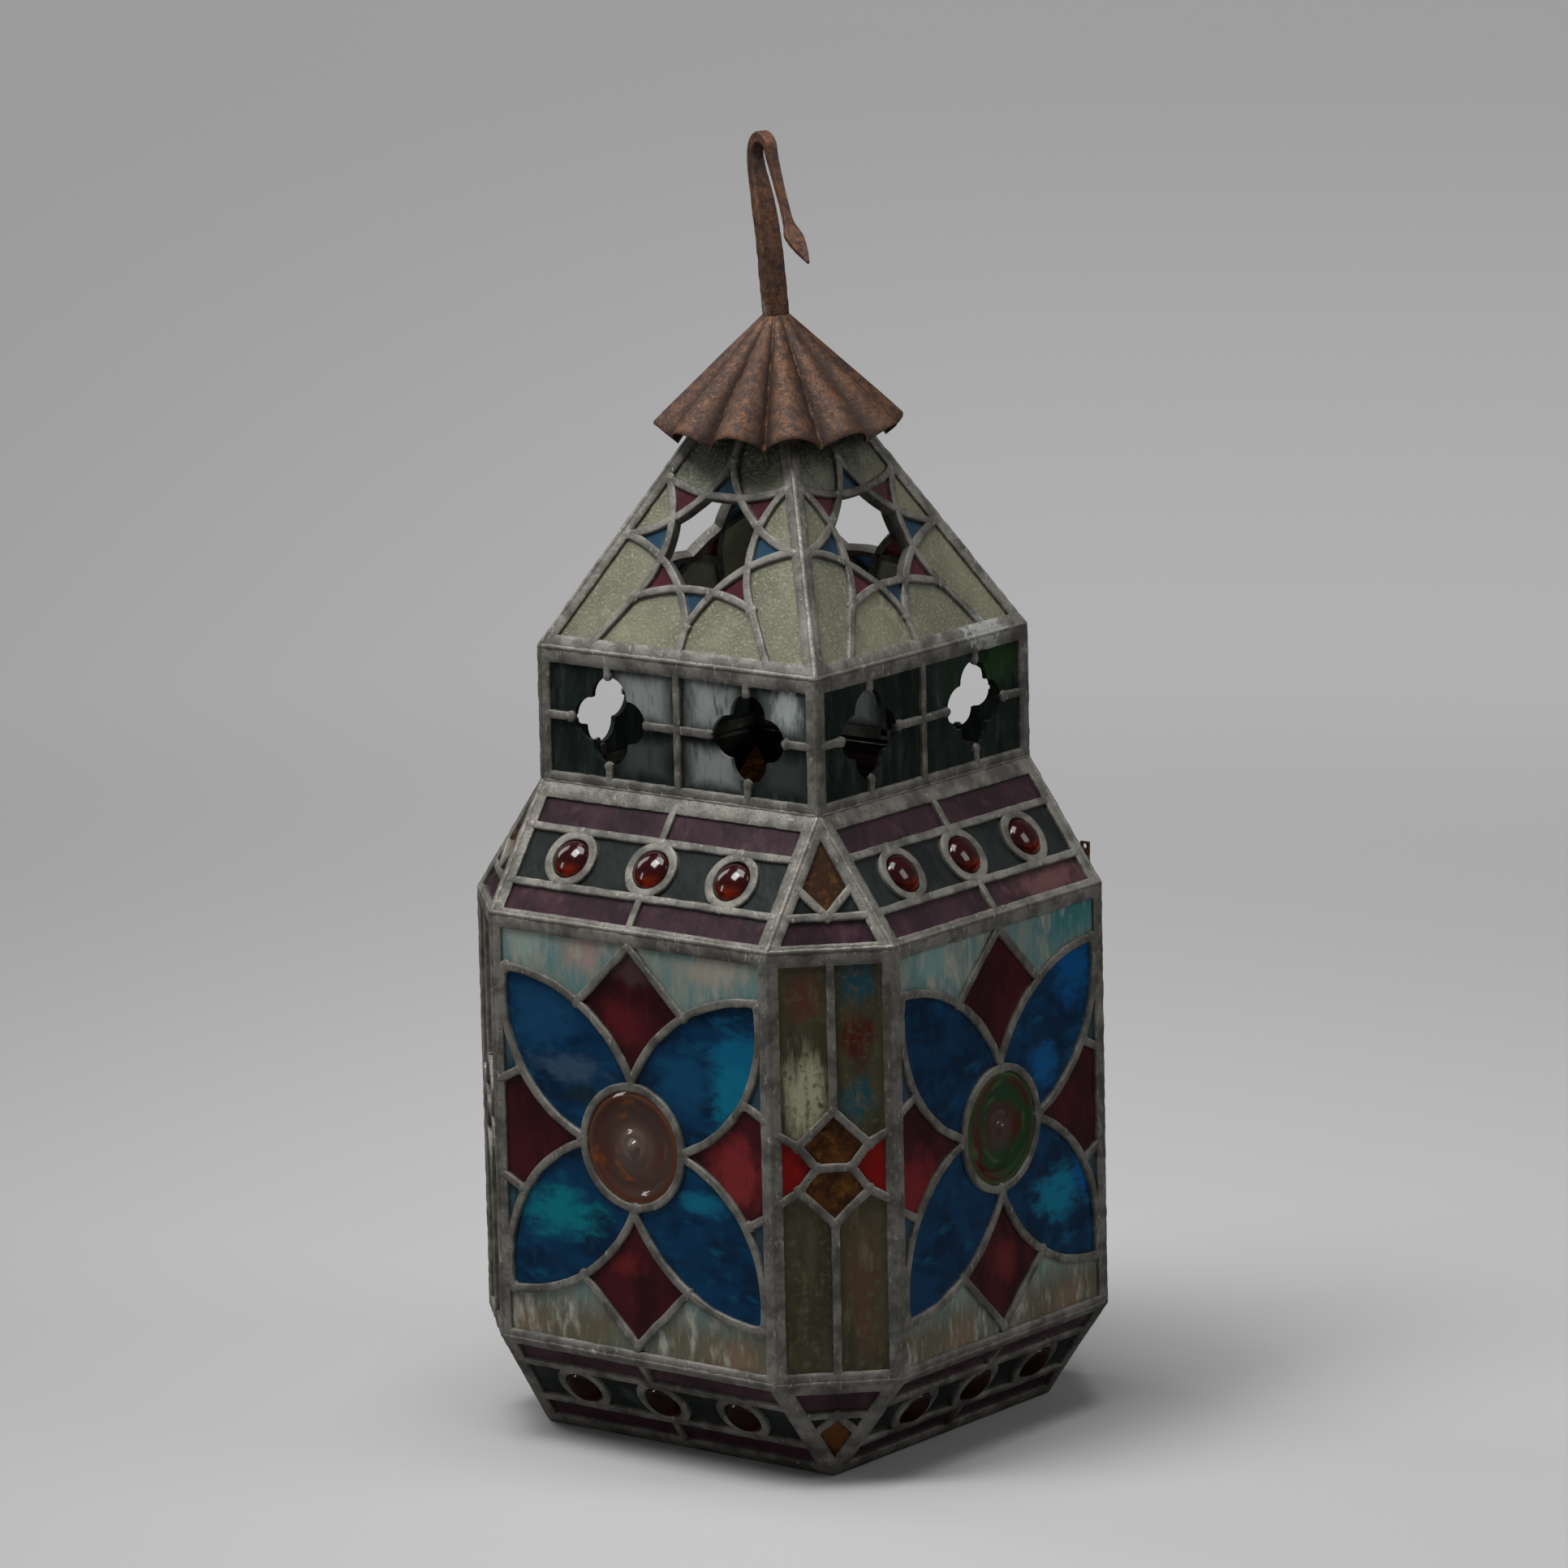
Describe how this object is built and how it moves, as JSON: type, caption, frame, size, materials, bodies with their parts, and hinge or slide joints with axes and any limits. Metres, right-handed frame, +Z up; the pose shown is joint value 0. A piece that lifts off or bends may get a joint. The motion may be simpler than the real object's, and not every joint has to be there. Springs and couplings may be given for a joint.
{
  "type": "candle lantern",
  "caption": "Hanging candle lantern of coloured glass in lead: square base and neck, wide eight-sided body, pyramid roof, pleated iron cap and forged hook.",
  "frame": {"origin": "middle of the square base, on the plane that the base stands on", "axes": "+Z up; -Y towards the front panel, so the door is on +Y; +X to the right seen from the front"},
  "size_m": [0.3038, 0.3077, 0.7501],
  "materials": {
    "lead": "dull grey lead with brighter solder at the joints",
    "cap_iron": "brown rust",
    "hook_iron": "forged, brown rust",
    "dark_iron": "dark, rough",
    "hinge_iron": "brown rust",
    "roof_glass": "grey-olive granular sheet",
    "star_blue_glass": "slate blue sheet",
    "star_red_glass": "dull red sheet",
    "neck_glass": "dark green-grey sheet",
    "purple_glass": "dark purple-brown sheet",
    "dark_glass": "almost black sheet",
    "jewel_glass": "dark red pressed jewel",
    "petal_glass": "deep blue sheet",
    "maroon_glass": "maroon sheet",
    "opal_glass": "pale opalescent streaky sheet",
    "sliver_glass": "blue-grey sheet",
    "rondel_glass": "spun bull's-eye, brown with an orange rim",
    "strip_glass": "hammered olive-brown sheet",
    "amber_glass": "amber sheet",
    "red_glass": "clear red sheet"
  },
  "bodies": {
    "lantern": {"roof_cames_front": "lead", "roof_cames_right": "lead", "roof_cames_back": "lead", "roof_cames_left": "lead", "neck_cames_front": "lead", "neck_cames_right": "lead", "neck_cames_back": "lead", "neck_cames_left": "lead", "shoulder_cames_front": "lead", "shoulder_cames_right": "lead", "shoulder_cames_back": "lead", "shoulder_cames_left": "lead", "body_cames_front": "lead", "body_cames_right": "lead", "body_cames_left": "lead", "skirt_cames_front": "lead", "skirt_cames_right": "lead", "skirt_cames_back": "lead", "skirt_cames_left": "lead", "corner_cames_front_right": "lead", "corner_cames_back_right": "lead", "corner_cames_back_left": "lead", "corner_cames_front_left": "lead", "roof_clear_glass": "roof_glass", "roof_blue_glass": "star_blue_glass", "roof_red_glass": "star_red_glass", "neck_glass": "neck_glass", "band_purple_glass": "purple_glass", "band_dark_glass": "dark_glass", "shoulder_jewels": "jewel_glass", "skirt_jewels": "jewel_glass", "body_petals": "petal_glass", "body_diamonds": "maroon_glass", "body_corner_glass": "opal_glass", "body_slivers": "sliver_glass", "body_rondels": "rondel_glass", "corner_lights": "strip_glass", "corner_amber_glass": "amber_glass", "corner_red_glass": "red_glass", "corner_dark_glass": "dark_glass", "corner_purple_glass": "purple_glass", "roof_crossbar": "dark_iron", "cap_spacer": "dark_iron", "cap": "cap_iron", "hinge_knuckles": "hinge_iron", "hinge_pin": "hinge_iron", "latch_bracket": "hinge_iron", "base_tray": "dark_iron", "drip_pan": "dark_iron", "candle_cup": "dark_iron"},
    "door": {"door_cames": "lead", "door_petals": "petal_glass", "door_diamonds": "maroon_glass", "door_corner_glass": "opal_glass", "door_slivers": "sliver_glass", "door_rondel": "rondel_glass", "door_knuckles": "hinge_iron"},
    "hook": {"hook": "hook_iron", "hook_washer": "dark_iron"},
    "latch": {"latch_button": "hinge_iron"}
  },
  "joints": [
    {"name": "door_swing", "type": "hinge", "parent": "lantern", "child": "door", "pos_m": [0.10126, 0.15305, 0.188], "axis": [0, 0, -1], "range_deg": [0, 110]},
    {"name": "hook_swivel", "type": "hinge", "parent": "lantern", "child": "hook", "pos_m": [0, 0, 0.646], "axis": [0, 0, 1], "continuous": true},
    {"name": "latch_turn", "type": "hinge", "parent": "lantern", "child": "latch", "pos_m": [-0.108, 0.1512, 0.188], "axis": [0, 1, 0], "range_deg": [0, 90]}
  ]
}
